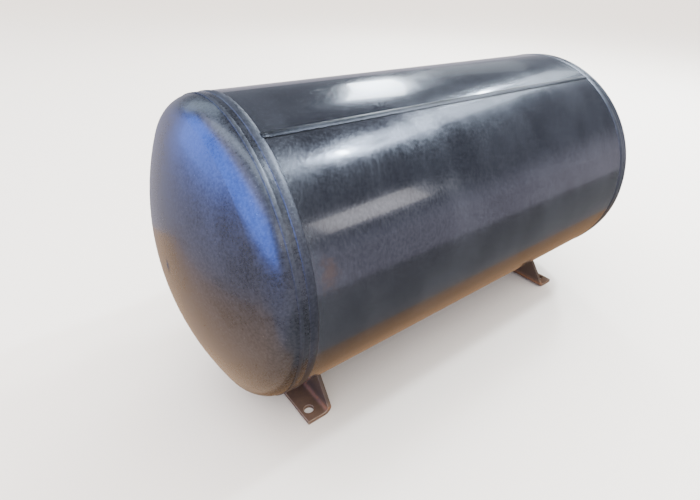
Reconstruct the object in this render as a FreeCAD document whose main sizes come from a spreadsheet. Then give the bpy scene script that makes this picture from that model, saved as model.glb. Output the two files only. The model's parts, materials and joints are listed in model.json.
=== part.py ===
"""Horizontal compressed air tank: a rolled shell with two dished heads on two bent plate feet.

Frame: X runs along the tank, Z is up, and the origin lies on the ground at the middle of the four foot bolts.
The front is towards -Y. The two air ports look out of the back, towards +Y, and the drain looks down.
All sizes are in millimetres and degrees, and live in the spreadsheet named Sizes.
"""
import FreeCAD
import Part
import Sketcher
import os
import re

DRIVING_SIZES = [
    # vessel
    ("shell_outer_diameter", 400, "outside diameter of shell and heads"),
    ("shell_length", 640, "rolled shell, edge to edge"),
    ("wall", 5, "thickness of shell and heads"),
    ("head_crown_radius", 400, "outside radius of the dish"),
    ("head_knuckle_radius", 40, "outside radius between dish and skirt"),
    ("head_skirt", 7, "straight part of the head outside the girth weld"),
    ("spigot_length", 18, "joggled rim of the head that slides into the shell"),
    ("spigot_clearance", 0.2, "between spigot and shell, on the radius"),
    ("ground_clearance", 46, "ground to the lowest line of the shell"),
    # welds
    ("root_gap", 4, "between the shell's edge and the head's shoulder"),
    ("girth_bead_width", 11, "girth weld across its toes"),
    ("girth_bead_height", 1.8, "girth weld above the shell"),
    ("seam_bead_width", 9, "longitudinal weld across its toes"),
    ("seam_bead_height", 1.5, "longitudinal weld above the shell"),
    ("seam_angle", 30, "longitudinal weld from the top, towards the front"),
    ("weld_gap", 0.1, "modelling gap between a weld or edge and the curved plate it lies on"),
    ("foot_weld_leg", 5, "fillet along each side of a foot's web"),
    ("boss_weld_leg", 4, "fillet round each boss"),
    # feet
    ("foot_plate", 6, "plate of the feet"),
    ("foot_bend_radius", 6, "inside radius of the bend"),
    ("foot_width", 240, "foot across the tank"),
    ("foot_flange", 38, "flange on the ground, over the bend"),
    ("foot_setback", 66, "shell's edge to the web's inner face"),
    ("foot_top_half_width", 84, "half width of the web where it meets the shell"),
    ("bolt_hole_diameter", 14, "one hole at each end of each foot"),
    ("bolt_hole_from_web", 26, "bolt holes from the web's inner face"),
    ("bolt_hole_from_end", 20, "bolt holes from the foot's ends"),
    # air ports at the back
    ("port_distance", 180, "each air port from the middle of the tank"),
    ("port_boss_diameter", 42, "air port boss"),
    ("port_boss_height", 20, "air port boss above the shell"),
    ("port_thread_diameter", 26.4, "bore of the air port thread"),
    ("port_hole_diameter", 22, "hole in the shell behind an air port"),
    # drain at the bottom
    ("drain_boss_diameter", 34, "drain boss"),
    ("drain_boss_height", 14, "drain boss below the shell"),
    ("drain_thread_diameter", 21, "bore of the drain thread"),
    ("drain_hole_diameter", 16, "hole in the shell above the drain"),
    ("thread_relief_depth", 1, "groove behind each thread, on the radius"),
    ("thread_relief_height", 2, "groove behind each thread, above the shell's crest"),
    ("plug_clearance", 0.15, "between plug and drain bore, on the radius"),
    ("plug_shank_length", 11, "plug inside the boss"),
    ("plug_collar_diameter", 30, "collar under the plug's hexagon"),
    ("plug_collar_height", 3, "collar under the plug's hexagon"),
    ("plug_hexagon_across_corners", 25.4, "hexagon of the plug"),
    ("plug_hexagon_height", 8, "hexagon of the plug"),
    ("washer_thickness", 1.5, "sealing washer of the plug"),
    ("washer_diameter", 28, "sealing washer of the plug"),
    ("edge_chamfer", 1, "chamfer on the bosses and the plug"),
]

DERIVED_SIZES = [
    ("outer_radius", "Sizes.shell_outer_diameter / 2"),
    ("inner_radius", "outer_radius - Sizes.wall"),
    ("seat_radius", "outer_radius + Sizes.weld_gap"),
    ("spigot_radius", "inner_radius - Sizes.spigot_clearance"),
    ("shell_end", "Sizes.shell_length / 2"),
    ("shoulder_end", "shell_end + Sizes.root_gap"),
    ("tangent_end", "shoulder_end + Sizes.head_skirt"),
    ("spigot_end", "shell_end - Sizes.spigot_length"),
    ("joggle_drop", "outer_radius - spigot_radius"),
    # moves the inner slope of the joggle outwards so that the plate keeps its thickness on the slope
    ("joggle_shift", "Sizes.wall * (sqrt(Sizes.root_gap ^ 2 + joggle_drop ^ 2) - Sizes.root_gap) / joggle_drop"),
    # the dish's centre lies on the axis, behind the knuckle's centre
    ("knuckle_centre_radius", "outer_radius - Sizes.head_knuckle_radius"),
    ("centre_distance", "Sizes.head_crown_radius - Sizes.head_knuckle_radius"),
    ("crown_centre", "tangent_end - sqrt(centre_distance ^ 2 - knuckle_centre_radius ^ 2)"),
    ("blend_cos", "(tangent_end - crown_centre) / centre_distance"),
    ("blend_sin", "knuckle_centre_radius / centre_distance"),
    ("crown_inner_radius", "Sizes.head_crown_radius - Sizes.wall"),
    ("toe_reach", "(Sizes.girth_bead_width - Sizes.root_gap) / 2"),
    ("axis_height", "outer_radius + Sizes.ground_clearance"),
    ("foot_face", "shell_end - Sizes.foot_setback"),
    ("foot_half_width", "Sizes.foot_width / 2"),
    ("bolt_station", "foot_face + Sizes.bolt_hole_from_web"),
    ("bolt_half_spread", "foot_half_width - Sizes.bolt_hole_from_end"),
    ("foot_outer_bend", "Sizes.foot_plate + Sizes.foot_bend_radius"),
    ("web_top", "axis_height - sqrt(seat_radius ^ 2 - Sizes.foot_top_half_width ^ 2)"),
    ("port_boss_radius", "Sizes.port_boss_diameter / 2"),
    ("drain_boss_radius", "Sizes.drain_boss_diameter / 2"),
    ("drain_face", "outer_radius + Sizes.drain_boss_height"),
    ("washer_face", "drain_face + Sizes.washer_thickness"),
    ("collar_face", "washer_face + Sizes.plug_collar_height"),
    ("plug_radius", "Sizes.drain_thread_diameter / 2 - Sizes.plug_clearance"),
]

# turn about X of a body whose X, or else whose Z, follows the named direction
ALONG_TANK = 0
BACKWARDS = -90
DOWNWARDS = 180

# a circle's centre, as a sketch's constraints number it
CENTRE = 3
# lengths and volumes under these are rounding
SAME_PLACE = 1e-4
LEAST_CUT = 1.0

doc = FreeCAD.newDocument("air_tank")


def make_sheet():
    """The spreadsheet of driving sizes: name, value and what it is."""
    sheet = doc.addObject("Spreadsheet::Sheet", "Sizes")
    for row, (alias, value, meaning) in enumerate(DRIVING_SIZES, start=1):
        sheet.set(f"A{row}", alias)
        sheet.set(f"B{row}", str(value))
        sheet.setAlias(f"B{row}", alias)
        sheet.set(f"C{row}", meaning)
    doc.recompute()


def make_derived():
    """Sizes that follow from the driving ones, each bound by its expression."""
    derived = doc.addObject("App::VarSet", "Derived")
    for name, expression in DERIVED_SIZES:
        derived.addProperty("App::PropertyFloat", name)
        derived.setExpression(name, expression)
        doc.recompute()
    return derived


make_sheet()
derived = make_derived()


def value_of(expression):
    """The number that an expression of sizes gives now."""
    return float(derived.evalExpression(expression))


def bound(expression):
    """The same expression as another object writes it: derived sizes named through their object."""
    known = "|".join(name for name, _ in DERIVED_SIZES)
    return re.sub(rf"(?<![.\w])({known})\b", r"Derived.\1", expression)


def new_body(label, along=None):
    """A body of its own; along places it at the tank axis, turned so that its Z looks that way."""
    body = doc.addObject("PartDesign::Body", label)
    body.Label = label
    if along is not None:
        turn = FreeCAD.Rotation(FreeCAD.Vector(1, 0, 0), along)
        body.Placement = FreeCAD.Placement(FreeCAD.Vector(0, 0, 0), turn)
        body.setExpression("Placement.Base.z", "Derived.axis_height")
    return body


def plane_of(body, role):
    """One of the body's own origin planes, by its role."""
    return next(f for f in body.Origin.OriginFeatures if f.Role == role)


def new_sketch(body, name, role):
    sketch = body.newObject("Sketcher::SketchObject", name)
    sketch.AttachmentSupport = [(plane_of(body, role), "")]
    sketch.MapMode = "FlatFace"
    return sketch


def point_of(place):
    """A pair of expressions as a point of the sketch's plane."""
    return FreeCAD.Vector(value_of(place[0]), value_of(place[1]), 0)


def bind(sketch, constraint, expression):
    """Adds a constraint whose value is an expression of sizes."""
    index = sketch.addConstraint(constraint)
    sketch.setExpression(f"Constraints[{index}]", bound(expression))


def pin_point(sketch, edge, point, place):
    """Holds a point of an edge at a place measured from the sketch's origin."""
    x, y = place[:2]
    bind(sketch, Sketcher.Constraint("DistanceX", -1, 1, edge, point, value_of(x)), x)
    bind(sketch, Sketcher.Constraint("DistanceY", -1, 1, edge, point, value_of(y)), y)


def end_at(sketch, edge, place):
    """Which end of an edge, 1 or 2, lies at a place: an arc always runs anticlockwise."""
    return 1 if sketch.getPoint(edge, 1).distanceToPoint(place) < SAME_PLACE else 2


def draw_outline(sketch, corners):
    """A closed outline of corners, each (x, y) in expressions. Where the edge that leaves a corner
    is an arc, the corner has (centre x, centre y, radius) as its third item."""
    places = [point_of(corner) for corner in corners]
    first_edge = sketch.GeometryCount
    for index, corner in enumerate(corners):
        start, end = places[index], places[(index + 1) % len(corners)]
        edge = Part.LineSegment(start, end)
        if len(corner) == 3:
            centre_x, centre_y, radius = corner[2]
            centre = point_of((centre_x, centre_y))
            towards_middle = ((start + end) / 2 - centre).normalize()
            edge = Part.Arc(start, centre + towards_middle * value_of(radius), end)
        sketch.addGeometry(edge, False)

    for index, corner in enumerate(corners):
        edge, edge_before = first_edge + index, first_edge + (index - 1) % len(corners)
        start = end_at(sketch, edge, places[index])
        end_before = end_at(sketch, edge_before, places[index])
        sketch.addConstraint(Sketcher.Constraint("Coincident", edge_before, end_before, edge, start))
        pin_point(sketch, edge, start, corner)
        if len(corner) == 3:
            radius = corner[2][2]
            bind(sketch, Sketcher.Constraint("Radius", edge, value_of(radius)), radius)


def draw_circle(sketch, x, y, radius):
    circle = Part.Circle(point_of((x, y)), FreeCAD.Vector(0, 0, 1), value_of(radius))
    edge = sketch.addGeometry(circle, False)
    pin_point(sketch, edge, CENTRE, (x, y))
    bind(sketch, Sketcher.Constraint("Radius", edge, value_of(radius)), radius)


def add_revolution(body, sketch, axis, angle=None):
    """Turns a sketch about one of its own axes, all round or symmetrically by an angle."""
    turned = body.newObject("PartDesign::Revolution", "Turned")
    turned.Profile = sketch
    turned.ReferenceAxis = (sketch, [axis])
    if angle is not None:
        turned.Midplane = True
        turned.setExpression("Angle", bound(angle))


def add_pad(body, sketch, length, symmetric=False):
    pad = body.newObject("PartDesign::Pad", "Pad")
    pad.Profile = sketch
    pad.Midplane = symmetric
    pad.setExpression("Length", bound(length))


def add_pocket(body, sketch, length, symmetric=False, name="Pocket"):
    """Cuts a sketch out of the body, and stops the script if nothing was cut."""
    doc.recompute()
    before = body.Shape.Volume
    pocket = body.newObject("PartDesign::Pocket", name)
    pocket.Profile = sketch
    pocket.Midplane = symmetric
    pocket.setExpression("Length", bound(length))
    doc.recompute()
    if body.Shape.Volume > before - LEAST_CUT:
        raise RuntimeError(f"{body.Label}: {name} cut nothing")


# ---------------------------------------------------------------- vessel

def make_shell():
    """Plate rolled to a round and closed by the longitudinal weld, with a hole at each port and the drain."""
    body = new_body("shell", ALONG_TANK)
    wall = new_sketch(body, "WallSection", "XZ_Plane")
    draw_outline(wall, [("-shell_end", "inner_radius"), ("shell_end", "inner_radius"),
                        ("shell_end", "outer_radius"), ("-shell_end", "outer_radius")])
    add_revolution(body, wall, "H_Axis")
    ports = new_sketch(body, "PortHoles", "XZ_Plane")
    for side in ("", "-"):
        draw_circle(ports, f"{side}Sizes.port_distance", "0", "Sizes.port_hole_diameter / 2")
    add_pocket(body, ports, "outer_radius + 1", name="PortHolePocket")
    drain = new_sketch(body, "DrainHole", "XY_Plane")
    draw_circle(drain, "0", "0", "Sizes.drain_hole_diameter / 2")
    add_pocket(body, drain, "outer_radius + 1", name="DrainHolePocket")


def make_head(label, side):
    """Dished head of even thickness: dish, knuckle, skirt, shoulder, and a rim that slides into the shell."""
    body = new_body(label, ALONG_TANK)
    section = new_sketch(body, "HeadSection", "XZ_Plane")
    crown = f"{side} * crown_centre"
    tangent = f"{side} * tangent_end"
    outer_blend = (f"{side} * ( crown_centre + Sizes.head_crown_radius * blend_cos )",
                   "Sizes.head_crown_radius * blend_sin")
    inner_blend = (f"{side} * ( crown_centre + crown_inner_radius * blend_cos )",
                   "crown_inner_radius * blend_sin")
    draw_outline(section, [
        (f"{side} * ( crown_centre + Sizes.head_crown_radius )", "0", (crown, "0", "Sizes.head_crown_radius")),
        (*outer_blend, (tangent, "knuckle_centre_radius", "Sizes.head_knuckle_radius")),
        (tangent, "outer_radius"),
        (f"{side} * shoulder_end", "outer_radius"),
        (f"{side} * shell_end", "spigot_radius"),
        (f"{side} * spigot_end", "spigot_radius"),
        (f"{side} * spigot_end", "spigot_radius - Sizes.wall"),
        (f"{side} * ( shell_end + joggle_shift )", "spigot_radius - Sizes.wall"),
        (f"{side} * ( shoulder_end + joggle_shift )", "inner_radius"),
        (tangent, "inner_radius", (tangent, "knuckle_centre_radius", "Sizes.head_knuckle_radius - Sizes.wall")),
        (*inner_blend, (crown, "0", "crown_inner_radius")),
        (f"{side} * ( crown_centre + crown_inner_radius )", "0"),
    ])
    add_revolution(body, section, "H_Axis")


def make_girth_weld(label, side):
    """Weld all round a head: a crowned bead over a root that fills the groove down to the spigot."""
    body = new_body(label, ALONG_TANK)
    section = new_sketch(body, "BeadSection", "XZ_Plane")
    middle = f"{side} * ( shell_end + Sizes.root_gap / 2 )"
    half = "Sizes.girth_bead_width / 2"
    height = "Sizes.girth_bead_height"
    crown_radius = f"( {half} * {half} + {height} * {height} ) / ( 2 * {height} )"
    draw_outline(section, [
        (f"{side} * ( shell_end - toe_reach )", "seat_radius",
         (middle, f"seat_radius + {height} - {crown_radius}", crown_radius)),
        (f"{side} * ( shoulder_end + toe_reach )", "seat_radius"),
        (f"{side} * ( shoulder_end - Sizes.weld_gap )", "seat_radius"),
        (f"{side} * ( shell_end + Sizes.weld_gap )", "spigot_radius + 3 * Sizes.weld_gap"),
        (f"{side} * ( shell_end + Sizes.weld_gap )", "seat_radius"),
    ])
    add_revolution(body, section, "H_Axis")


def make_seam_weld():
    """Straight weld along the shell, between the toes of the two girth welds."""
    body = new_body("longitudinal_seam_weld", ALONG_TANK)
    body.setExpression("Placement.Rotation.Angle", "Sizes.seam_angle")
    section = new_sketch(body, "BeadSection", "YZ_Plane")
    half = "Sizes.seam_bead_width / 2"
    height = "Sizes.seam_bead_height"
    crown_radius = f"( {half} * {half} + {height} * {height} ) / ( 2 * {height} )"
    draw_outline(section, [
        (f"-{half}", "seat_radius"),
        (half, "seat_radius", ("0", f"seat_radius + {height} - {crown_radius}", crown_radius)),
    ])
    add_pad(body, section, "2 * ( shell_end - toe_reach - Sizes.weld_gap )", symmetric=True)


# ---------------------------------------------------------------- feet

def make_foot(label, side):
    """Bent plate across the tank: a flange on the ground with two bolt holes, and an upright web
    whose top is cut to the shell and whose ends lean in."""
    body = new_body(label)
    section = new_sketch(body, "BentSection", "XZ_Plane")
    face = "foot_face"
    bend_centre = (f"{side} * ( {face} + foot_outer_bend )", "foot_outer_bend")
    draw_outline(section, [
        (f"{side} * ( {face} + Sizes.foot_flange )", "0"),
        (bend_centre[0], "0", (*bend_centre, "foot_outer_bend")),
        (f"{side} * {face}", "foot_outer_bend"),
        (f"{side} * {face}", "axis_height"),
        (f"{side} * ( {face} + Sizes.foot_plate )", "axis_height"),
        (f"{side} * ( {face} + Sizes.foot_plate )", "foot_outer_bend",
         (*bend_centre, "Sizes.foot_bend_radius")),
        (bend_centre[0], "Sizes.foot_plate"),
        (f"{side} * ( {face} + Sizes.foot_flange )", "Sizes.foot_plate"),
    ])
    add_pad(body, section, "Sizes.foot_width", symmetric=True)

    saddle = new_sketch(body, "Saddle", "YZ_Plane")
    draw_circle(saddle, "0", "axis_height", "seat_radius")
    add_pocket(body, saddle, "4 * foot_face", symmetric=True, name="SaddlePocket")

    lean = new_sketch(body, "LeaningEnds", "YZ_Plane")
    for hand in ("", "-"):
        draw_outline(lean, [
            (f"{hand}foot_half_width", "foot_outer_bend"),
            (f"{hand}Sizes.foot_top_half_width", "web_top"),
            (f"{hand}Sizes.foot_top_half_width", "axis_height + 1"),
            (f"{hand}( foot_half_width + 1 )", "axis_height + 1"),
            (f"{hand}( foot_half_width + 1 )", "foot_outer_bend"),
        ])
    add_pocket(body, lean, "4 * foot_face", symmetric=True, name="LeaningEndsPocket")

    holes = new_sketch(body, "BoltHoles", "XY_Plane")
    for hand in ("", "-"):
        draw_circle(holes, f"{side} * bolt_station", f"{hand}bolt_half_spread", "Sizes.bolt_hole_diameter / 2")
    add_pocket(body, holes, "2 * Sizes.foot_plate + 2", symmetric=True, name="BoltHolesPocket")


def make_foot_weld(label, side, outer):
    """Fillet between the shell and one face of a foot's web, from one leaning end to the other."""
    body = new_body(label, ALONG_TANK)
    section = new_sketch(body, "FilletSection", "XZ_Plane")
    if outer:
        face = "foot_face + Sizes.foot_plate + Sizes.weld_gap"
        toe = f"{face} + Sizes.foot_weld_leg"
    else:
        face = "foot_face - Sizes.weld_gap"
        toe = f"{face} - Sizes.foot_weld_leg"
    draw_outline(section, [
        (f"{side} * ( {face} )", "-seat_radius"),
        (f"{side} * ( {toe} )", "-seat_radius"),
        (f"{side} * ( {face} )", "-( seat_radius + Sizes.foot_weld_leg )"),
    ])
    add_revolution(body, section, "H_Axis", "2 * asin( Sizes.foot_top_half_width / seat_radius )")


# ---------------------------------------------------------------- bosses and drain plug

def make_boss(label, along, station, radius, bore, height):
    """Round boss that stands on the shell: bored for its thread, with a groove behind the thread,
    chamfered at its mouth, and cut to the shell's curve."""
    body = new_body(label, along)
    body.setExpression("Placement.Base.x", station)
    section = new_sketch(body, "TurnedSection", "XZ_Plane")
    root = f"outer_radius - {height}"
    relief = f"{bore} + Sizes.thread_relief_depth"
    relief_top = "outer_radius + Sizes.thread_relief_height"
    mouth = f"outer_radius + {height}"
    chamfer = "Sizes.edge_chamfer"
    draw_outline(section, [
        (relief, root),
        (radius, root),
        (radius, f"{mouth} - {chamfer}"),
        (f"{radius} - {chamfer}", mouth),
        (f"{bore} + {chamfer}", mouth),
        (bore, f"{mouth} - {chamfer}"),
        (bore, relief_top),
        (relief, relief_top),
    ])
    add_revolution(body, section, "V_Axis")
    cut_to_shell(body)


def cut_to_shell(body):
    """Takes away what lies inside the tank, on a body whose Z looks out through the shell."""
    tank = new_sketch(body, "TankRound", "YZ_Plane")
    draw_circle(tank, "0", "0", "seat_radius")
    add_pocket(body, tank, "4 * outer_radius", symmetric=True, name="TankPocket")


def make_boss_weld(label, along, station, radius):
    """Fillet round a boss: a cone that follows the shell's curve."""
    body = new_body(label, along)
    body.setExpression("Placement.Base.x", station)
    section = new_sketch(body, "FilletSection", "XZ_Plane")
    inner = f"{radius} + Sizes.weld_gap"
    leg = "Sizes.boss_weld_leg"
    draw_outline(section, [
        (inner, f"outer_radius + {leg}"),
        (f"{inner} + 2 * {leg}", f"outer_radius - {leg}"),
        (inner, f"outer_radius - {leg}"),
    ])
    add_revolution(body, section, "V_Axis")
    cut_to_shell(body)


def make_drain_plug():
    """Plug turned from hexagon bar: plain shank where its thread is, a collar, and the hexagon."""
    body = new_body("drain_plug", DOWNWARDS)
    section = new_sketch(body, "TurnedSection", "XZ_Plane")
    draw_outline(section, [
        ("0", "drain_face - Sizes.plug_shank_length"),
        ("plug_radius", "drain_face - Sizes.plug_shank_length"),
        ("plug_radius", "washer_face"),
        ("Sizes.plug_collar_diameter / 2", "washer_face"),
        ("Sizes.plug_collar_diameter / 2", "collar_face"),
        ("0", "collar_face"),
    ])
    add_revolution(body, section, "V_Axis")
    doc.recompute()
    hexagon = body.newObject("PartDesign::AdditivePrism", "Hexagon")
    hexagon.AttachmentSupport = [(plane_of(body, "XY_Plane"), "")]
    hexagon.MapMode = "FlatFace"
    hexagon.Polygon = 6
    hexagon.setExpression("Circumradius", "Sizes.plug_hexagon_across_corners / 2")
    hexagon.setExpression("Height", "Sizes.plug_hexagon_height")
    hexagon.setExpression("AttachmentOffset.Base.z", "Derived.collar_face")


def make_washer():
    body = new_body("drain_plug_washer", DOWNWARDS)
    section = new_sketch(body, "WasherSection", "XZ_Plane")
    bore = "Sizes.drain_thread_diameter / 2"
    rim = "Sizes.washer_diameter / 2"
    draw_outline(section, [(bore, "drain_face"), (rim, "drain_face"), (rim, "washer_face"),
                           (bore, "washer_face")])
    add_revolution(body, section, "V_Axis")


def check_document():
    """Every object has to be computed, and every body's shape has to be one valid solid."""
    for item in doc.Objects:
        if "Invalid" in item.State or "Error" in item.State:
            raise RuntimeError(f"{item.Name} failed: {item.State}")
    for body in bodies():
        if body.Shape.isNull() or not body.Shape.isValid() or len(body.Shape.Solids) != 1:
            raise RuntimeError(f"{body.Label} is not one valid solid")


def bodies():
    return [item for item in doc.Objects if item.TypeId == "PartDesign::Body"]


make_shell()
for end, side in (("left", -1), ("right", 1)):
    make_head(f"{end}_head", side)
    make_girth_weld(f"{end}_girth_weld", side)
    make_foot(f"{end}_foot", side)
    make_foot_weld(f"{end}_foot_outer_weld", side, outer=True)
    make_foot_weld(f"{end}_foot_inner_weld", side, outer=False)
make_seam_weld()
for port, station in (("inlet", "-Sizes.port_distance"), ("outlet", "Sizes.port_distance")):
    make_boss(f"{port}_boss", BACKWARDS, station, "port_boss_radius", "Sizes.port_thread_diameter / 2",
              "Sizes.port_boss_height")
    make_boss_weld(f"{port}_boss_weld", BACKWARDS, station, "port_boss_radius")
make_boss("drain_boss", DOWNWARDS, "0", "drain_boss_radius", "Sizes.drain_thread_diameter / 2",
          "Sizes.drain_boss_height")
make_boss_weld("drain_boss_weld", DOWNWARDS, "0", "drain_boss_radius")
make_drain_plug()
make_washer()

doc.recompute()
check_document()
os.makedirs("parts", exist_ok=True)
for body in bodies():
    body.Shape.exportStep(os.path.join("parts", body.Label + ".step"))
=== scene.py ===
"""Looks of a horizontal compressed air tank: dark coated steel, two dished heads, two bent plate feet.

Everything is in metres in the tank's own frame: X along the tank, Z up, the front towards -Y.
The studio comes first, and then the tank in the order in which it is put together.
"""

import json
import math

import bmesh
import bpy
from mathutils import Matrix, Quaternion, Vector


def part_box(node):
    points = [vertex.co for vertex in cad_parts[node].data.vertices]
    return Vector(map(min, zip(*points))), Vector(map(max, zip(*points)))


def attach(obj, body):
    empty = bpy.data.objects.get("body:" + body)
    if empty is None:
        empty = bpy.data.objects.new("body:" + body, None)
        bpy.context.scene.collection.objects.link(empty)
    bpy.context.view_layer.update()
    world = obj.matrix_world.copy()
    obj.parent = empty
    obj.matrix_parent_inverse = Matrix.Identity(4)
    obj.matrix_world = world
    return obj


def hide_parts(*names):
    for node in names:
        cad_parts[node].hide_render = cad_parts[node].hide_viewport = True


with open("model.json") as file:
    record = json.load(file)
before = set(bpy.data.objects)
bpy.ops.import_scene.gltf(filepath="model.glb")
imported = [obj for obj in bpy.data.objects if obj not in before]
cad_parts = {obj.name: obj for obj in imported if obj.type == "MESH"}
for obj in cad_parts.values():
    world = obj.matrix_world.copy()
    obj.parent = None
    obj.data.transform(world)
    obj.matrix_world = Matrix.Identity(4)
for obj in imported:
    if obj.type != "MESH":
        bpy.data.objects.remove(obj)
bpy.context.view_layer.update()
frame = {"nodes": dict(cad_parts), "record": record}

# ---- Studio
# A seamless pale floor, a dim room, ceiling strips whose reflections run along the tank, and glowing floor
# cards that only reflections see.
# The camera looks down on the tank from its left front corner.
shell_low, shell_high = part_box("shell")
tank_middle = (shell_low + shell_high) / 2
tank_radius = (shell_high.z - shell_low.z) / 2

CAMERA_AZIMUTH = math.radians(-40.2)
CAMERA_ELEVATION = math.radians(23.9)
CAMERA_ROLL = math.radians(1.64)
CAMERA_DISTANCE = 0.888
CAMERA_AIM = tank_middle + Vector((-0.007, 0.060, -0.034))
CAMERA_LENS = 25.05
CAMERA_SENSOR = 36
CAMERA_SHIFT = (-0.0545, -0.078)
FLOOR_SIZE = 400
CARD_REACH = 150
CEILING = 2.4
HORIZON_BAND = 0.30
FLOOR_COLOUR = (0.86, 0.82, 0.77)
ROOM_COLOUR = (0.25, 0.27, 0.33)
HORIZON_COLOUR = (0.85, 0.82, 0.95)
BACKDROP_COLOUR = (2.3, 2.2, 2.1)
COOL_WHITE = (0.86, 0.95, 1.0)
PALE_BLUE = (0.72, 0.88, 1.0)
WARM_WHITE = (1.0, 0.93, 0.86)

camera_data = bpy.data.cameras.new("camera")
camera_data.lens = CAMERA_LENS
camera_data.sensor_width = CAMERA_SENSOR
camera_data.shift_x, camera_data.shift_y = CAMERA_SHIFT
camera = bpy.data.objects.new("camera", camera_data)
bpy.context.scene.collection.objects.link(camera)
towards_camera = Vector((math.sin(CAMERA_AZIMUTH) * math.cos(CAMERA_ELEVATION),
                         -math.cos(CAMERA_AZIMUTH) * math.cos(CAMERA_ELEVATION),
                         math.sin(CAMERA_ELEVATION)))
camera.location = CAMERA_AIM + towards_camera * CAMERA_DISTANCE
camera.rotation_mode = "QUATERNION"
camera.rotation_quaternion = towards_camera.to_track_quat("Z", "Y") @ Quaternion((0, 0, 1), CAMERA_ROLL)
bpy.context.scene.camera = camera

bpy.ops.mesh.primitive_plane_add(size=FLOOR_SIZE, location=(0, 0, 0))
floor = bpy.context.object
floor.name = "floor"
floor_paint = bpy.data.materials.new("pale_floor")
floor_paint.use_nodes = True
floor_shader = floor_paint.node_tree.nodes["Principled BSDF"]
floor_shader.inputs["Base Color"].default_value = (*FLOOR_COLOUR, 1)
floor_shader.inputs["Roughness"].default_value = 0.9
floor.data.materials.append(floor_paint)


def node_in(tree, kind, inputs=None, **settings):
    """Adds a node; inputs maps a socket's name or number to a value, or to the socket that feeds it."""
    node = tree.nodes.new(kind)
    for setting, value in settings.items():
        setattr(node, setting, value)
    for key, value in (inputs or {}).items():
        if isinstance(value, bpy.types.NodeSocket):
            tree.links.new(value, node.inputs[key])
        else:
            node.inputs[key].default_value = value
    return node


def maths(tree, operation, *values):
    """One step of arithmetic on sockets or numbers."""
    return node_in(tree, "ShaderNodeMath", dict(enumerate(values)), operation=operation).outputs[0]


def ramp(tree, value, low, high, to_low=0.0, to_high=1.0):
    """Turns low..high into to_low..to_high along a smooth step."""
    limits = {"Value": value, "From Min": low, "From Max": high, "To Min": to_low, "To Max": to_high}
    return node_in(tree, "ShaderNodeMapRange", limits, interpolation_type="SMOOTHSTEP").outputs["Result"]


def spread(tree, value, low, high):
    """Turns 0..1 into low..high evenly."""
    limits = {"Value": value, "To Min": low, "To Max": high}
    return node_in(tree, "ShaderNodeMapRange", limits).outputs["Result"]


def place_parts(tree, place):
    """The X, Y and Z of a vector socket."""
    return node_in(tree, "ShaderNodeSeparateXYZ", {0: place}).outputs


def mixed(tree, factor, first, second):
    """Mixes two colours, each a socket or three numbers."""
    values = {0: factor}
    for key, colour in ((6, first), (7, second)):
        values[key] = colour if isinstance(colour, bpy.types.NodeSocket) else (*colour, 1)
    return node_in(tree, "ShaderNodeMix", values, data_type="RGBA").outputs[2]


world = bpy.data.worlds.new("studio")
bpy.context.scene.world = world
world.use_nodes = True
sky = world.node_tree
towards = place_parts(sky, sky.nodes.new("ShaderNodeTexCoord").outputs["Generated"])
room_colour = mixed(sky, ramp(sky, towards["Z"], HORIZON_BAND, 0.0), ROOM_COLOUR, HORIZON_COLOUR)
seen_directly = sky.nodes.new("ShaderNodeLightPath").outputs["Is Camera Ray"]
sky_colour = mixed(sky, seen_directly, room_colour, BACKDROP_COLOUR)
sky.links.new(sky_colour, sky.nodes["Background"].inputs["Color"])


def add_light(name, place, target, size, energy, colour, lighting=True, turn=0.0):
    """A soft rectangular light that looks from its place at a target, turned about its line of sight."""
    data = bpy.data.lights.new(name, "AREA")
    data.shape = "RECTANGLE"
    data.size, data.size_y = size
    data.energy = energy
    data.color = colour
    lamp = bpy.data.objects.new(name, data)
    lamp.location = place
    lamp.rotation_mode = "QUATERNION"
    aim = (Vector(place) - Vector(target)).to_track_quat("Z", "Y")
    lamp.rotation_quaternion = aim @ Quaternion((0, 0, 1), turn)
    lamp.visible_diffuse = lighting
    bpy.context.scene.collection.objects.link(lamp)


def add_ceiling_strip(name, start, end, width, energy, colour):
    """A strip light on the ceiling from one point of its plan to another."""
    start, end = Vector((*start, CEILING)), Vector((*end, CEILING))
    middle = (start + end) / 2
    run = end - start
    below = middle - Vector((0, 0, CEILING))
    heading = math.atan2(run.y, run.x)
    add_light(name, middle, below, (run.length, width), energy, colour, turn=heading)


def add_card(name, low, high, height, radiance):
    """A card lying on the floor that glows with its own light and that only reflections see, as a studio
    lays down beside glossy work.
    """
    plan = (low, (high[0], low[1]), high, (low[0], high[1]))
    mesh = bpy.data.meshes.new(name)
    mesh.from_pydata([(*corner, height) for corner in plan], [], [(0, 1, 2, 3)])
    paint = bpy.data.materials.new(name)
    paint.use_nodes = True
    shader = paint.node_tree.nodes["Principled BSDF"]
    shader.inputs["Base Color"].default_value = (0, 0, 0, 1)
    shader.inputs["Specular IOR Level"].default_value = 0
    shader.inputs["Emission Color"].default_value = (*radiance, 1)
    shader.inputs["Emission Strength"].default_value = 1
    mesh.materials.append(paint)
    card = bpy.data.objects.new(name, mesh)
    bpy.context.scene.collection.objects.link(card)
    for kind in ("camera", "diffuse", "shadow", "transmission"):
        setattr(card, "visible_" + kind, False)


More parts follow.
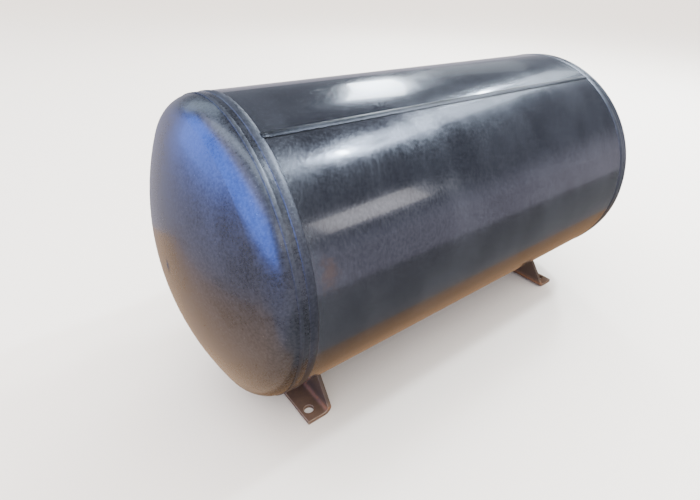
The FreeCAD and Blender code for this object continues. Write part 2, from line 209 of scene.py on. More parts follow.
soft_sky_data = bpy.data.lights.new("soft_sky", "SUN")
soft_sky_data.angle = math.radians(110)
soft_sky_data.energy = 9.5
soft_sky_data.color = WARM_WHITE
soft_sky = bpy.data.objects.new("soft_sky", soft_sky_data)
soft_sky.visible_glossy = False
bpy.context.scene.collection.objects.link(soft_sky)
add_ceiling_strip("front_strip", (1.10, -0.70), (3.9, 0.95), 0.55, 9, COOL_WHITE)
add_ceiling_strip("front_lamp", (1.06, -0.74), (1.40, -0.57), 0.15, 72, COOL_WHITE)
add_ceiling_strip("far_lamp", (2.18, -0.02), (2.58, 0.42), 0.34, 122, COOL_WHITE)
add_ceiling_strip("back_strip", (1.62, 1.15), (2.82, 3.40), 0.50, 112, COOL_WHITE)
add_ceiling_strip("back_haze", (3.2, 2.1), (7.0, 5.8), 1.5, 12, COOL_WHITE)
add_ceiling_strip("near_strip", (-0.6, -1.55), (0.52, -0.62), 0.30, 7, COOL_WHITE)
add_ceiling_strip("back_left_haze", (-0.2, 1.5), (-2.6, 7.5), 1.2, 52, PALE_BLUE)
add_ceiling_strip("overhead", (-1.5, 1.6), (-0.35, -1.0), 0.50, 20, COOL_WHITE)
add_ceiling_strip("left_ceiling", (-1.9, 2.6), (-1.9, -2.4), 1.1, 30, (1.0, 0.92, 1.0))
add_light("right_window", (2.85, -4.4, 2.2), tank_middle, (1.4, 1.0), 18, WARM_WHITE)
add_light("front_window", (-0.3, -4.4, 2.4), tank_middle, (2.6, 1.3), 26, WARM_WHITE)
add_light("left_blue", (-2.3, 0.4, 1.5), (0, 0.4, 1.5), (7.0, 2.0), 330, (0.10, 0.24, 1.0), lighting=False)
add_card("pale_card", (-CARD_REACH, -CARD_REACH), (CARD_REACH, CARD_REACH), 0.0005, (0.80, 0.75, 0.86))
# Painted shade and light in the floor's reflection: a dim card where the floor beside the tank lies in its
# shade, and warm cards where the floor under it is lit warm.
add_card("shaded_floor_card", (-0.50, -0.78), (2.6, -0.235), 0.001, (0.34, 0.34, 0.35))
add_card("lit_floor_card", (-0.36, -0.235), (1.0, 0.65), 0.0015, (0.52, 0.31, 0.17))
add_card("left_warm_card", (-0.80, -0.30), (-0.36, 0.65), 0.002, (1.15, 0.78, 0.52))

# ---- Rolled shell
# Steel plate rolled to a round, welded, and given a thin dark blue-grey coat with the metal's gloss in it.
# Its orange peel breaks reflections up, and dust and handling leave cloudy, duller patches.
COAT_DARK = (0.046, 0.050, 0.065)
COAT_LIGHT = (0.125, 0.137, 0.166)
DUST_COLOUR = (0.26, 0.29, 0.32)
RUST_COLOUR = (0.15, 0.108, 0.086)
SEAM_SHADOW_AND_BEAD_DARK = (0.010, 0.011, 0.014)
GRAIN_SHARE, CLOUD_SHARE, EVEN_SHARE = 0.40, 0.35, 0.125
COAT_METALLIC = 0.9
COAT_GLOSS, COAT_DULLEST = 0.13, 0.25
CLEAR_ROUGHNESS = 0.06
PEEL_STRENGTH = 0.12
PEEL_DEPTH = 0.0003
SPECK_STRENGTH = 0.5
RUST_PLACE = (-0.298, -0.197, 0.288)
RUST_SIZE = (0.014, 0.1, 0.024)
RUST_GRAIN, RUST_RAGGEDNESS = 0.012, 2.4
RUST_EDGE = (2.2, 1.4)
RUST_STRENGTH = 0.6
SEAM_ANGLE = math.radians(30)
SEAM_WIDTH, SEAM_HEIGHT = 0.009, 0.0008
# Painted shadow: a dark line on the shell just below the seam bead, standing in for the bead's shade.
TOE_PAST_SEAM = 0.0017
TOE_EDGE = (0.0017, 0.0004)
TOE_GRAIN, TOE_WANDER = 0.012, 0.003
SEAM_SHADOW_STRENGTH = 0.85
TOE_ABOVE_AXIS = (0.05, 0.1)


def new_group(name, inputs, outputs):
    """An empty shader group; inputs and outputs are (name, kind, value) and (name, kind)."""
    tree = bpy.data.node_groups.new(name, "ShaderNodeTree")
    for label, kind, value in inputs:
        socket = tree.interface.new_socket(name=label, in_out="INPUT", socket_type="NodeSocket" + kind)
        if value is not None:
            socket.default_value = value
    for label, kind in outputs:
        tree.interface.new_socket(name=label, in_out="OUTPUT", socket_type="NodeSocket" + kind)
    given = tree.nodes.new("NodeGroupInput").outputs
    result = tree.nodes.new("NodeGroupOutput").inputs
    return tree, given, result


def noise(tree, place, size, detail=2.0, rough=0.5):
    """Noise with grains of about a size in metres, which may be a socket."""
    scale = maths(tree, "DIVIDE", 1.0, size) if isinstance(size, bpy.types.NodeSocket) else 1 / size
    return node_in(tree, "ShaderNodeTexNoise", {"Vector": place, "Scale": scale, "Detail": detail,
                                                "Roughness": rough}).outputs["Fac"]


mottle_group, given, result = new_group(
    "mottled_coat",
    (("Place", "Vector", None), ("Grain Size", "Float", 0.0034), ("Cloud Size", "Float", 0.09)),
    (("Grain", "Float"), ("Clouds", "Float"), ("Specks", "Float"), ("Relief", "Float")))
clouds = ramp(mottle_group, noise(mottle_group, given["Place"], given["Cloud Size"], 4, 0.6), 0.36, 0.66)
grain = ramp(mottle_group, noise(mottle_group, given["Place"], given["Grain Size"], 4, 0.62), 0.32, 0.70)
speck_size = maths(mottle_group, "MULTIPLY", given["Grain Size"], 0.6)
specks = ramp(mottle_group, noise(mottle_group, given["Place"], speck_size, 2, 0.5), 0.66, 0.76)
peel = noise(mottle_group, given["Place"], speck_size, 1)
mottle_group.links.new(grain, result["Grain"])
mottle_group.links.new(clouds, result["Clouds"])
mottle_group.links.new(maths(mottle_group, "MULTIPLY", specks, clouds), result["Specks"])
mottle_group.links.new(peel, result["Relief"])


def new_material(name, colour, metallic, roughness):
    """A Principled material with its even values set on its own sockets."""
    material = bpy.data.materials.new(name)
    material.use_nodes = True
    shader = material.node_tree.nodes["Principled BSDF"]
    shader.inputs["Base Color"].default_value = (*colour, 1)
    shader.inputs["Metallic"].default_value = metallic
    shader.inputs["Roughness"].default_value = roughness
    return material, material.node_tree, shader


def squeezed_place(tree, stretch):
    """Object coordinates, stretched along some axes so that a pattern runs along them."""
    place = tree.nodes.new("ShaderNodeTexCoord").outputs["Object"]
    return node_in(tree, "ShaderNodeMapping", {"Vector": place, "Scale": stretch}).outputs[0]


def make_coat(name, stretch=(1, 1, 1), dulling=0.0, lightness=0.0, clear=0.45, rust_and_seam_shadow=False,
              shades=(COAT_DARK, COAT_LIGHT)):
    """The tank's coat, mottled all over; the shell's has a rust patch and a painted shadow line below its
    seam.
    """
    material, tree, shader = new_material(name, COAT_DARK, COAT_METALLIC, COAT_GLOSS)
    shader.inputs["Coat Weight"].default_value = clear
    shader.inputs["Coat Roughness"].default_value = CLEAR_ROUGHNESS
    place = tree.nodes.new("ShaderNodeTexCoord").outputs["Object"]
    mottle = node_in(tree, "ShaderNodeGroup", {}, node_tree=mottle_group)
    tree.links.new(squeezed_place(tree, stretch), mottle.inputs["Place"])
    worn = maths(tree, "MULTIPLY_ADD", mottle.outputs["Clouds"], CLOUD_SHARE, EVEN_SHARE + lightness)
    shade = maths(tree, "MULTIPLY_ADD", mottle.outputs["Grain"], GRAIN_SHARE, worn)
    colour = mixed(tree, shade, *shades)
    dust = maths(tree, "MULTIPLY", mottle.outputs["Specks"], SPECK_STRENGTH)
    colour = mixed(tree, dust, colour, DUST_COLOUR)
    dullness = maths(tree, "MULTIPLY_ADD", mottle.outputs["Clouds"], 0.5,
                     maths(tree, "MULTIPLY", mottle.outputs["Grain"], 0.5))
    if rust_and_seam_shadow:
        patch = {"Vector": place, "Location": RUST_PLACE, "Scale": RUST_SIZE}
        near = node_in(tree, "ShaderNodeMapping", patch, vector_type="TEXTURE").outputs[0]
        reach = node_in(tree, "ShaderNodeVectorMath", {0: near}, operation="LENGTH").outputs["Value"]
        ragged = maths(tree, "MULTIPLY_ADD", noise(tree, place, RUST_GRAIN, 5, 0.7), RUST_RAGGEDNESS, reach)
        rust = maths(tree, "MULTIPLY", ramp(tree, ragged, *RUST_EDGE), RUST_STRENGTH)
        colour = mixed(tree, rust, colour, RUST_COLOUR)
        dullness = maths(tree, "ADD", dullness, rust)
        # Painted shadow: a wandering dark line along the seam's lower side, on the upper shell, where the
        # bead shades the shell.
        off_axis = node_in(tree, "ShaderNodeVectorMath", {0: place, 1: tank_middle},
                           operation="SUBTRACT").outputs[0]
        round_shell = Vector((0, -math.cos(SEAM_ANGLE), -math.sin(SEAM_ANGLE)))
        past_seam = node_in(tree, "ShaderNodeVectorMath", {0: off_axis, 1: round_shell},
                            operation="DOT_PRODUCT").outputs["Value"]
        wandering = maths(tree, "MULTIPLY_ADD", noise(tree, place, TOE_GRAIN, 3), TOE_WANDER, past_seam)
        from_toe = maths(tree, "SUBTRACT", wandering, SEAM_WIDTH / 2 + TOE_PAST_SEAM)
        near_shadow_line = ramp(tree, maths(tree, "ABSOLUTE", from_toe), *TOE_EDGE)
        on_top = ramp(tree, place_parts(tree, off_axis)["Z"], *TOE_ABOVE_AXIS)
        toe = maths(tree, "MULTIPLY", near_shadow_line, on_top)
        colour = mixed(tree, maths(tree, "MULTIPLY", toe, SEAM_SHADOW_STRENGTH), colour, SEAM_SHADOW_AND_BEAD_DARK)
        dullness = maths(tree, "ADD", dullness, toe)
    roughness = spread(tree, dullness, COAT_GLOSS + dulling, COAT_DULLEST + dulling)
    bump = node_in(tree, "ShaderNodeBump", {"Height": mottle.outputs["Relief"], "Strength": PEEL_STRENGTH,
                                            "Distance": PEEL_DEPTH})
    tree.links.new(colour, shader.inputs["Base Color"])
    tree.links.new(roughness, shader.inputs["Roughness"])
    tree.links.new(bump.outputs["Normal"], shader.inputs["Normal"])
    return material


def finish_node(node, material):
    """Gives a CAD node its finish."""
    for slot in frame["nodes"][node].material_slots:
        slot.material = material


shell_coat = make_coat("shell_coat", (1.25, 0.8, 0.8), rust_and_seam_shadow=True)
finish_node("shell", shell_coat)

# ---- Longitudinal seam weld
# The rolled plate's two edges, butt welded by machine on the upper front of the shell.
# The bead is a low rounded ridge of fine overlapping ripples, with a wandering toe on each side.
RIPPLE_PITCH = 0.003
RIPPLE_DEPTH = 0.16
RIPPLE_BOW = 0.9
RIPPLE_SPREAD = (0.35, 1.2)
SWELL, SWELL_SCALE = 0.3, 90.0
WANDER_SCALE = 130.0
LUMP_REACH = (0.010, 0.003)
LEAST_ROOT = 0.0003
SECTION_POINTS = 14
BEAD_STEP = 0.0006
GUIDE_STEP = 0.004
SEAM_END_OVER_CAD = 0.0015


def geometry_tree(name, inputs):
    """An empty Geometry Nodes tree that takes and gives a mesh; inputs are (name, kind, value)."""
    tree = bpy.data.node_groups.new(name, "GeometryNodeTree")
    tree.interface.new_socket(name="Geometry", in_out="INPUT", socket_type="NodeSocketGeometry")
    for label, kind, value in inputs:
        socket = tree.interface.new_socket(name=label, in_out="INPUT", socket_type="NodeSocket" + kind)
        if value is not None:
            socket.default_value = value
    tree.interface.new_socket(name="Geometry", in_out="OUTPUT", socket_type="NodeSocketGeometry")
    return tree, tree.nodes.new("NodeGroupInput").outputs, tree.nodes.new("NodeGroupOutput").inputs


def vector_maths(tree, operation, first, second):
    """One step of vector arithmetic; SCALE takes a number second."""
    key = "Scale" if operation == "SCALE" else 1
    return node_in(tree, "ShaderNodeVectorMath", {0: first, key: second}, operation=operation).outputs[0]


def captured(tree, geometry, value, kind="FLOAT"):
    """Holds a value on the points of a geometry, so that it is still known after a sweep."""
    node = tree.nodes.new("GeometryNodeCaptureAttribute")
    node.capture_items.new(kind, "value")
    tree.links.new(geometry, node.inputs[0])
    tree.links.new(value, node.inputs[1])
    return node.outputs[0], node.outputs[1]


bead_tree, given, result = geometry_tree("weld_bead", (
    ("Width", "Float", SEAM_WIDTH), ("Height", "Float", SEAM_HEIGHT), ("Root Depth", "Float", 0.0004),
    ("Toe Blend", "Float", 2.6), ("Ripple Pitch", "Float", RIPPLE_PITCH),
    ("Ripple Depth", "Float", RIPPLE_DEPTH), ("Wander", "Float", 0.05), ("End Lump", "Float", 0.0),
    ("Seed", "Float", 0.0), ("Material", "Material", None)))


def bead_maths(operation, *values):
    return maths(bead_tree, operation, *values)


def bead_node(kind, inputs=None, **settings):
    return node_in(bead_tree, kind, inputs, **settings).outputs[0]


def bead_noise(scale, seed):
    inputs = {"Scale": scale, "Detail": 2.0, "W": seed}
    return node_in(bead_tree, "ShaderNodeTexNoise", inputs, noise_dimensions="4D").outputs["Fac"]


# The guide runs along the joint; every point of it knows which way is outwards.
outward = node_in(bead_tree, "GeometryNodeInputNamedAttribute", {"Name": "outward"},
                  data_type="FLOAT_VECTOR").outputs["Attribute"]
guide = bead_node("GeometryNodeMeshToCurve", {"Mesh": given["Geometry"]})
guide = bead_node("GeometryNodeResampleCurve", {"Curve": guide, "Length": BEAD_STEP}, mode="LENGTH")
guide = bead_node("GeometryNodeSetCurveNormal", {"Curve": guide, "Normal": outward}, mode="FREE")
run = bead_tree.nodes.new("GeometryNodeSplineParameter").outputs
whole_length = bead_tree.nodes.new("GeometryNodeSplineLength").outputs["Length"]
guide, along = captured(bead_tree, guide, run["Length"])
guide, run_left = captured(bead_tree, guide, bead_maths("SUBTRACT", whole_length, run["Length"]))
beside_run = vector_maths(bead_tree, "CROSS_PRODUCT", bead_node("GeometryNodeInputTangent"), outward)
guide, sideways = captured(bead_tree, guide, beside_run, "VECTOR")

# The section is a low crown over a shallow root: X is its height, Y its place across the bead.
circle = bead_node("GeometryNodeCurvePrimitiveCircle", {"Resolution": SECTION_POINTS, "Radius": 1.0})
round_place = place_parts(bead_tree, bead_node("GeometryNodeInputPosition"))
crown = bead_maths("MAXIMUM", round_place["X"], 0.0)
circle, held_across = captured(bead_tree, circle, round_place["Y"])
circle, held_crown = captured(bead_tree, circle, crown)
from_side = bead_maths("SUBTRACT", 1.0, bead_maths("ABSOLUTE", round_place["Y"]))
below_middle = bead_maths("LESS_THAN", round_place["X"], -0.01)
root = bead_maths("MULTIPLY_ADD", from_side, given["Root Depth"], LEAST_ROOT)
under = bead_maths("MULTIPLY", below_middle, root)
over = bead_maths("MULTIPLY", bead_maths("POWER", crown, given["Toe Blend"]), given["Height"])
half_width = bead_maths("MULTIPLY", given["Width"], 0.5)
section_place = bead_node("ShaderNodeCombineXYZ", {
    0: bead_maths("SUBTRACT", over, under), 1: bead_maths("MULTIPLY", round_place["Y"], half_width)})
section = bead_node("GeometryNodeSetPosition", {"Geometry": circle, "Position": section_place})
bead = bead_node("GeometryNodeCurveToMesh", {"Curve": guide, "Profile Curve": section, "Fill Caps": True})

# Ripples cross the crown in bows, deeper in some stretches, and the bead swells and wanders.
bow = bead_maths("MULTIPLY", given["Ripple Pitch"], RIPPLE_BOW)
bowed = bead_maths("MULTIPLY_ADD", bead_maths("POWER", held_across, 2.0), bow, along)
half_turns = bead_maths("DIVIDE", bowed, given["Ripple Pitch"])
scallop = bead_maths("ABSOLUTE", bead_maths("SINE", bead_maths("MULTIPLY", half_turns, math.pi)))
patchy = bead_noise(SWELL_SCALE, given["Seed"])
patch_depth = ramp(bead_tree, patchy, 0.3, 0.6, *RIPPLE_SPREAD)
ripple_depth = bead_maths("MULTIPLY", given["Ripple Depth"], patch_depth)
ripple = bead_maths("MULTIPLY", bead_maths("SUBTRACT", scallop, 1.0), ripple_depth)
nearest_end = bead_maths("MINIMUM", along, run_left)
lump = bead_maths("MULTIPLY", ramp(bead_tree, nearest_end, *LUMP_REACH), given["End Lump"])
swell = bead_maths("ADD", bead_maths("MULTIPLY_ADD", patchy, SWELL, -SWELL / 2), lump)
share_risen = bead_maths("MULTIPLY", bead_maths("ADD", ripple, swell), held_crown)
rise = bead_maths("MULTIPLY", share_risen, given["Height"])
wander_noise = bead_noise(WANDER_SCALE, bead_maths("ADD", given["Seed"], 7.0))
across = bead_maths("MULTIPLY", held_across, given["Width"])
wander_reach = bead_maths("MULTIPLY", given["Wander"], across)
wander = bead_maths("MULTIPLY", bead_maths("MULTIPLY_ADD", wander_noise, 2.0, -1.0), wander_reach)
shift = vector_maths(bead_tree, "ADD", vector_maths(bead_tree, "SCALE", outward, rise),
                     vector_maths(bead_tree, "SCALE", sideways, wander))
bead = bead_node("GeometryNodeSetPosition", {"Geometry": bead, "Offset": shift})
bead = bead_node("GeometryNodeSetShadeSmooth", {"Geometry": bead})
bead = bead_node("GeometryNodeRealizeInstances", {"Geometry": bead})
bead = bead_node("GeometryNodeSetMaterial", {"Geometry": bead, "Material": given["Material"]})
bead_tree.links.new(bead, result["Geometry"])


def grown_piece(name, mesh, tree, sizes, material):
    """Runs a Geometry Nodes tree on a mesh and keeps the result as a plain mesh object at the origin."""
    seed = bpy.data.objects.new(name + "_guide", mesh)
    bpy.context.scene.collection.objects.link(seed)
    modifier = seed.modifiers.new("grown", "NODES")
    modifier.node_group = tree
    for item in tree.interface.items_tree:
        if item.in_out == "INPUT" and item.name in sizes:
            modifier[item.identifier] = sizes[item.name]
        elif item.in_out == "INPUT" and item.name == "Material":
            modifier[item.identifier] = material
    graph = bpy.context.evaluated_depsgraph_get()
    grown = bpy.data.meshes.new_from_object(seed.evaluated_get(graph), depsgraph=graph)
    bpy.data.objects.remove(seed)
    grown.name = name
    piece = bpy.data.objects.new(name, grown)
    bpy.context.scene.collection.objects.link(piece)
    return piece


def lay_bead(name, place_at, closed, sizes, material, guide_length):
    """A bead along place_at(share), which gives a point and its outward direction for 0 to 1."""
    count = round(guide_length / GUIDE_STEP)
    shares = [step / count for step in range(count if closed else count + 1)]
    points, outwards = zip(*(place_at(share) for share in shares))
    edges = [(step, step + 1) for step in range(len(points) - 1)]
    if closed:
        edges.append((len(points) - 1, 0))
    mesh = bpy.data.meshes.new(name + "_guide")
    mesh.from_pydata(points, edges, [])
    attribute = mesh.attributes.new("outward", "FLOAT_VECTOR", "POINT")
    for entry, outward_at in zip(attribute.data, outwards):
        entry.vector = Vector(outward_at).normalized()
    pitch = guide_length / round(guide_length / RIPPLE_PITCH)
    piece = grown_piece(name, mesh, bead_tree, {"Ripple Pitch": pitch, **sizes}, material)
    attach(piece, "root")
    return piece


def lay_weld(node, place_at, closed, sizes, material, guide_length):
    """A weld bead that stands for a CAD node."""
    piece = lay_bead(node + "_bead", place_at, closed, sizes, material, guide_length)
    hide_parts(node)


seam_coat = make_coat("seam_coat", dulling=0.20, clear=0.05, shades=(SEAM_SHADOW_AND_BEAD_DARK, COAT_DARK))
seam_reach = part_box("longitudinal_seam_weld")[1].x + SEAM_END_OVER_CAD


def seam_at(share):
    up = Vector((0, -math.sin(SEAM_ANGLE), math.cos(SEAM_ANGLE)))
    return tank_middle + tank_radius * up + Vector((seam_reach * (2 * share - 1), 0, 0)), up


lay_weld("longitudinal_seam_weld", seam_at, False,
         {"Width": SEAM_WIDTH, "Height": SEAM_HEIGHT, "Wander": 0.09, "End Lump": 0.7, "Seed": 1.0},
         seam_coat, 2 * seam_reach)

# ---- Dished heads
# Plate pressed to a shallow dish with a tight knuckle, its stepped-in lip pushed into the shell's end.
# The press leaves a faint raised line round the skirt.
head_coat = make_coat("head_coat", dulling=0.11, lightness=-0.1, clear=0.15)
finish_node("left_head", head_coat)
finish_node("right_head", head_coat)
SKIRT_RING_FROM_SHELL = 0.0165
SKIRT_RING_WIDTH, SKIRT_RING_HEIGHT = 0.006, 0.0003
SKIRT_RING_SINK = 0.0003
skirt_coat = make_coat("skirt_coat", dulling=0.24, clear=0.0)
for side, outwards_x in (("left", -1), ("right", 1)):
    def skirt_at(share):
        angle = 2 * math.pi * share
        up = Vector((0, math.sin(angle), math.cos(angle)))
        ring_x = outwards_x * (shell_high.x + SKIRT_RING_FROM_SHELL)
        on_axis = Vector((ring_x, tank_middle.y, tank_middle.z))
        return on_axis + (tank_radius - SKIRT_RING_SINK) * up, up

    ring_sizes = {"Width": SKIRT_RING_WIDTH, "Height": SKIRT_RING_HEIGHT, "Ripple Depth": 0.0,
                  "Wander": 0.03, "Seed": 8.0 + outwards_x}
    ring = lay_bead(side + "_head_skirt_ring", skirt_at, True, ring_sizes, skirt_coat,
                    2 * math.pi * tank_radius)

# ---- Girth welds
# Machine welds that join each head to the shell, laid as the tank turned under a fixed torch.
# The bead stands a little proud of both, with its ripples in step all the way round.
GIRTH_HEIGHT = 0.0008

weld_coat = make_coat("weld_coat", dulling=0.27, lightness=-0.05, clear=0.05)
for side in ("left", "right"):
    node = side + "_girth_weld"
    ring_low, ring_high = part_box(node)
    ring_x = (ring_low.x + ring_high.x) / 2

    def girth_at(share):
        angle = 2 * math.pi * share
        up = Vector((0, math.sin(angle), math.cos(angle)))
        return Vector((ring_x, tank_middle.y, tank_middle.z)) + tank_radius * up, up

    girth_sizes = {"Width": ring_high.x - ring_low.x, "Height": GIRTH_HEIGHT, "Wander": 0.06,
                   "Seed": 2.0 + ring_x}
    lay_weld(node, girth_at, True, girth_sizes, weld_coat, 2 * math.pi * tank_radius)

# ---- Bent feet
# 6 mm hot rolled plate, bent to an L with the flange outwards and sawn to the shell, two holes a flange.
# Dark mill scale and brown rust cover it; painted shade darkens the upright web, and a painted highlight
# lies in the bend and on the pale rounded edges.
SCALE_COLOUR = (0.100, 0.064, 0.045)
FOOT_RUST_COLOUR = (0.155, 0.095, 0.060)
EDGE_HIGHLIGHT_COLOUR = (0.30, 0.225, 0.17)
WEB_SHADE_COLOUR = (0.040, 0.030, 0.026)
BEND_HIGHLIGHT_COLOUR = (0.27, 0.120, 0.055)
PLATE, BEND_TOP = 0.006, 0.013
WEB_FADE, WEB_SHADE_STRENGTH = 0.006, 0.62
FLANGE_FADE, BEND_FADE = 0.002, 0.003
BEND_HIGHLIGHT_GRAIN, BEND_HIGHLIGHT_LEAST = 0.5, 0.4
FOOT_GRAIN_SHARE = 0.4
FOOT_GRAIN_SIZE, FOOT_CLOUD_SIZE = 0.005, 0.035
FOOT_GLOSS, FOOT_DULLEST = 0.50, 0.72
FOOT_SPECULAR = 0.3
SCALE_ROUGHNESS, SCALE_DEPTH = 0.4, 0.0003
EDGE_BEVEL = 0.0009
EDGE_ANGLE = math.radians(35)
EDGE_HIGHLIGHT_SLOT = 1


def make_foot_finish(name, scale_and_edge_highlight_colour, rust_colour, rustiness):
    """Hot rolled plate: brown flange, painted shade up the upright web, and a painted highlight in the bend.
    """
    material, tree, shader = new_material(name, scale_and_edge_highlight_colour, 0.0, FOOT_GLOSS)
    shader.inputs["Specular IOR Level"].default_value = FOOT_SPECULAR
    place = tree.nodes.new("ShaderNodeTexCoord").outputs["Object"]
    mottle = node_in(tree, "ShaderNodeGroup", {}, node_tree=mottle_group)
    mottle.inputs["Grain Size"].default_value = FOOT_GRAIN_SIZE
    mottle.inputs["Cloud Size"].default_value = FOOT_CLOUD_SIZE
    tree.links.new(place, mottle.inputs["Place"])
    height = place_parts(tree, place)["Z"]
    grain_share = maths(tree, "MULTIPLY", mottle.outputs["Grain"], FOOT_GRAIN_SHARE)
    patches = maths(tree, "MULTIPLY_ADD", mottle.outputs["Clouds"], rustiness, grain_share)
    colour = mixed(tree, patches, scale_and_edge_highlight_colour, rust_colour)
    # Painted shade: the upright web is darkened up from the bend, out of the light that falls on the flange.
    web_shade = ramp(tree, height, BEND_TOP, BEND_TOP + WEB_FADE, 0.0, WEB_SHADE_STRENGTH)
    colour = mixed(tree, web_shade, colour, WEB_SHADE_COLOUR)
    # Painted highlight: an orange line inside the bend, where its curve catches the light.
    above_flange = ramp(tree, height, PLATE, PLATE + FLANGE_FADE)
    below_web = ramp(tree, height, BEND_TOP, BEND_TOP - BEND_FADE)
    in_the_bend = maths(tree, "MULTIPLY", above_flange, below_web)
    bend_highlight = maths(tree, "MULTIPLY_ADD", mottle.outputs["Grain"], BEND_HIGHLIGHT_GRAIN, BEND_HIGHLIGHT_LEAST)
    colour = mixed(tree, maths(tree, "MULTIPLY", in_the_bend, bend_highlight), colour, BEND_HIGHLIGHT_COLOUR)
    roughness = spread(tree, patches, FOOT_GLOSS, FOOT_DULLEST)
    bump = node_in(tree, "ShaderNodeBump", {"Height": mottle.outputs["Relief"], "Strength": SCALE_ROUGHNESS,
                                            "Distance": SCALE_DEPTH})
    tree.links.new(colour, shader.inputs["Base Color"])
    tree.links.new(roughness, shader.inputs["Roughness"])
    tree.links.new(bump.outputs["Normal"], shader.inputs["Normal"])
    return material


def merged_copy(name, node):
    """A copy of a CAD node's mesh with its triangles joined into whole faces, at the origin."""
    mesh = frame["nodes"][node].data.copy()
    mesh.name = name
    shape = bmesh.new()
    shape.from_mesh(mesh)
    bmesh.ops.remove_doubles(shape, verts=shape.verts, dist=1e-5)
    bmesh.ops.dissolve_limit(shape, angle_limit=math.radians(1), verts=shape.verts, edges=shape.edges)
    shape.to_mesh(mesh)
    shape.free()
    mesh.materials.clear()
    piece = bpy.data.objects.new(name, mesh)
    bpy.context.scene.collection.objects.link(piece)
    return piece


foot_scale = make_foot_finish("foot_scale", SCALE_COLOUR, FOOT_RUST_COLOUR, 0.7)
# Painted highlight: the bevelled edges take a pale colour that stands in for light catching them.
foot_edge_highlight = make_foot_finish("foot_edge_highlight", EDGE_HIGHLIGHT_COLOUR, FOOT_RUST_COLOUR, 0.5)
for side in ("left", "right"):
    foot = merged_copy(side + "_foot_plate", side + "_foot")
    foot.data.materials.append(foot_scale)
    foot.data.materials.append(foot_edge_highlight)
    bevel = foot.modifiers.new("highlit edge", "BEVEL")
    bevel.width = EDGE_BEVEL
    bevel.segments = 2
    bevel.limit_method = "ANGLE"
    bevel.angle_limit = EDGE_ANGLE
    bevel.material = EDGE_HIGHLIGHT_SLOT
    bevel.harden_normals = True
    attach(foot, "root")
    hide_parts(side + "_foot")

# ---- Foot welds
# A hand laid fillet on each side of each foot's web, along its saddle cut under the shell.
# The runs are coarser than the machine welds and start and stop in a lump.
FILLET_CROWN = 0.14


def fillet_sizes(leg, **others):
    """Sizes of a hand laid fillet, from the length of its leg."""
    return {"Width": leg * math.sqrt(2), "Height": FILLET_CROWN * leg, "Root Depth": leg / math.sqrt(2),
            "Toe Blend": 1.3, "Ripple Depth": 1.1, **others}


for side, outwards_x in (("left", -1), ("right", 1)):
    for face, away_x in (("outer", outwards_x), ("inner", -outwards_x)):
        node = side + "_foot_" + face + "_weld"
        weld_low, weld_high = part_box(node)
        leg = weld_high.x - weld_low.x
        away = Vector((away_x, 0, 0))
        web_face = weld_low.x if away_x > 0 else weld_high.x
        reach = math.asin(weld_high.y / (tank_radius + leg))

        def fillet_at(share):
            angle = reach * (2 * share - 1)
            down = Vector((0, math.sin(angle), -math.cos(angle)))
            corner = Vector((web_face, tank_middle.y, tank_middle.z)) + tank_radius * down
            return corner + (away + down) * leg / 2, away + down

        sizes = fillet_sizes(leg, Wander=0.1, Seed=4.0 + weld_low.x)
        sizes["End Lump"] = 0.8
        lay_weld(node, fillet_at, False, sizes, weld_coat, 2 * reach * tank_radius)

# ---- Air port bosses
# Two turned steel sockets welded into the back of the shell, each with a female pipe thread.
# The thread is left bare, and the coat stops at its mouth.
THREAD_PITCH = 0.0018
THREAD_HEIGHT = THREAD_PITCH / 2
THREAD_STEPS = 48
UPRIGHT_TO_BACK = (-math.pi / 2, 0, 0)
STEEL_COLOUR = (0.32, 0.31, 0.30)
STEEL_GRIME = (0.10, 0.08, 0.06)

thread_tree, given, result = geometry_tree("pipe_thread", (
    ("Radius", "Float", 0.0132), ("Length", "Float", 0.015), ("Pitch", "Float", THREAD_PITCH),
    ("Height", "Float", THREAD_HEIGHT), ("Place", "Vector", None), ("Material", "Material", None)))


def thread_node(kind, inputs=None, **settings):
    return node_in(thread_tree, kind, inputs, **settings).outputs[0]


turns = maths(thread_tree, "DIVIDE", given["Length"], given["Pitch"])
helix = thread_node("GeometryNodeCurveSpiral", {
    "Resolution": THREAD_STEPS, "Rotations": turns, "Start Radius": given["Radius"],
    "End Radius": given["Radius"], "Height": given["Length"]})
helix = thread_node("GeometryNodeSetCurveNormal", {"Curve": helix}, mode="Z_UP")
ridge = thread_node("GeometryNodeCurvePrimitiveCircle", {"Resolution": 4, "Radius": given["Height"]})
thread = thread_node("GeometryNodeCurveToMesh", {"Curve": helix, "Profile Curve": ridge, "Fill Caps": True})
thread = thread_node("GeometryNodeTransform", {
    "Geometry": thread, "Translation": given["Place"], "Rotation": UPRIGHT_TO_BACK})
thread = thread_node("GeometryNodeRealizeInstances", {"Geometry": thread})
thread = thread_node("GeometryNodeSetMaterial", {"Geometry": thread, "Material": given["Material"]})
thread_tree.links.new(thread, result["Geometry"])


def make_bare_metal(name, colour, tarnish, gloss, dullest, spot_size):
    """Uncoated metal, whose tarnish gathers in spots and takes its shine away."""
    material, tree, shader = new_material(name, colour, 1.0, gloss)
    place = tree.nodes.new("ShaderNodeTexCoord").outputs["Object"]
    spots = ramp(tree, noise(tree, place, spot_size, 4, 0.6), 0.35, 0.75)
    tree.links.new(mixed(tree, spots, colour, tarnish), shader.inputs["Base Color"])
    tree.links.new(spread(tree, spots, gloss, dullest), shader.inputs["Roughness"])
    return material


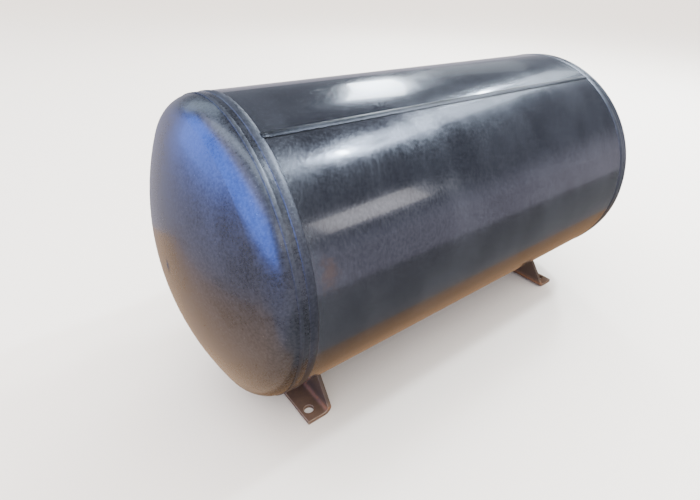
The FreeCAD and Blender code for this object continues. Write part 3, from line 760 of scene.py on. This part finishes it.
def lay_boss_weld(boss, outwards, seed):
    """A hand laid fillet all round a boss that stands out of the shell in one direction."""
    low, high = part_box(boss)
    middle = (low + high) / 2
    radius = (high.x - low.x) / 2
    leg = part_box(boss + "_weld")[1].x - middle.x - radius
    round_shell = Vector((1, 0, 0)).cross(outwards)

    def ring_at(share):
        angle = 2 * math.pi * share
        aside = radius * math.sin(angle)
        depth = math.sqrt(tank_radius ** 2 - aside ** 2)
        on_axis = Vector((middle.x + radius * math.cos(angle), tank_middle.y, tank_middle.z))
        corner = on_axis + aside * round_shell + depth * outwards
        along_shell = round_shell - outwards * aside / depth
        away = (Vector((math.cos(angle), 0, 0)) + math.sin(angle) * along_shell).normalized()
        return corner + (away + outwards) * leg / 2, away + outwards

    sizes = fillet_sizes(leg, Wander=0.08, Seed=seed)
    lay_weld(boss + "_weld", ring_at, True, sizes, weld_coat, 2 * math.pi * radius)


boss_coat = make_coat("boss_coat", dulling=0.05)
bare_thread = make_bare_metal("bare_thread", STEEL_COLOUR, STEEL_GRIME, 0.30, 0.50, 0.003)
mounts = {mount["name"]: mount for mount in frame["record"]["mounts"]}
for port, seed in (("inlet", 5.0), ("outlet", 6.0)):
    finish_node(port + "_boss", boss_coat)
    lay_boss_weld(port + "_boss", Vector((0, 1, 0)), seed)
    mount = mounts[port + "_port"]
    thread_length = mount["dims"]["length_mm"] / 1000 - 2 * THREAD_HEIGHT
    thread_start = Vector(mount["pos_m"]) - Vector((0, thread_length / 2, 0))
    sizes = {"Radius": mount["dims"]["r_mm"] / 1000, "Length": thread_length, "Place": thread_start}
    empty_guide = bpy.data.meshes.new(port + "_port_thread_guide")
    thread = grown_piece(port + "_port_thread", empty_guide, thread_tree, sizes, bare_thread)
    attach(thread, "root")

# ---- Drain
# A short boss under the tank's lowest line, closed by a zinc plated hexagon plug on a soft aluminium washer.
# Water that gathers in the tank is let out here, so the plug's plating is dulled and stained.
ZINC_COLOUR = (0.52, 0.52, 0.49)
ZINC_STAIN = (0.24, 0.20, 0.14)
ALUMINIUM_COLOUR = (0.70, 0.70, 0.71)
ALUMINIUM_DULL = (0.38, 0.38, 0.39)

finish_node("drain_boss", boss_coat)
lay_boss_weld("drain_boss", Vector((0, 0, -1)), 7.0)
stained_zinc = make_bare_metal("stained_zinc", ZINC_COLOUR, ZINC_STAIN, 0.28, 0.50, 0.004)
finish_node("drain_plug", stained_zinc)
soft_aluminium = make_bare_metal("soft_aluminium", ALUMINIUM_COLOUR, ALUMINIUM_DULL, 0.32, 0.48, 0.003)
finish_node("drain_plug_washer", soft_aluminium)
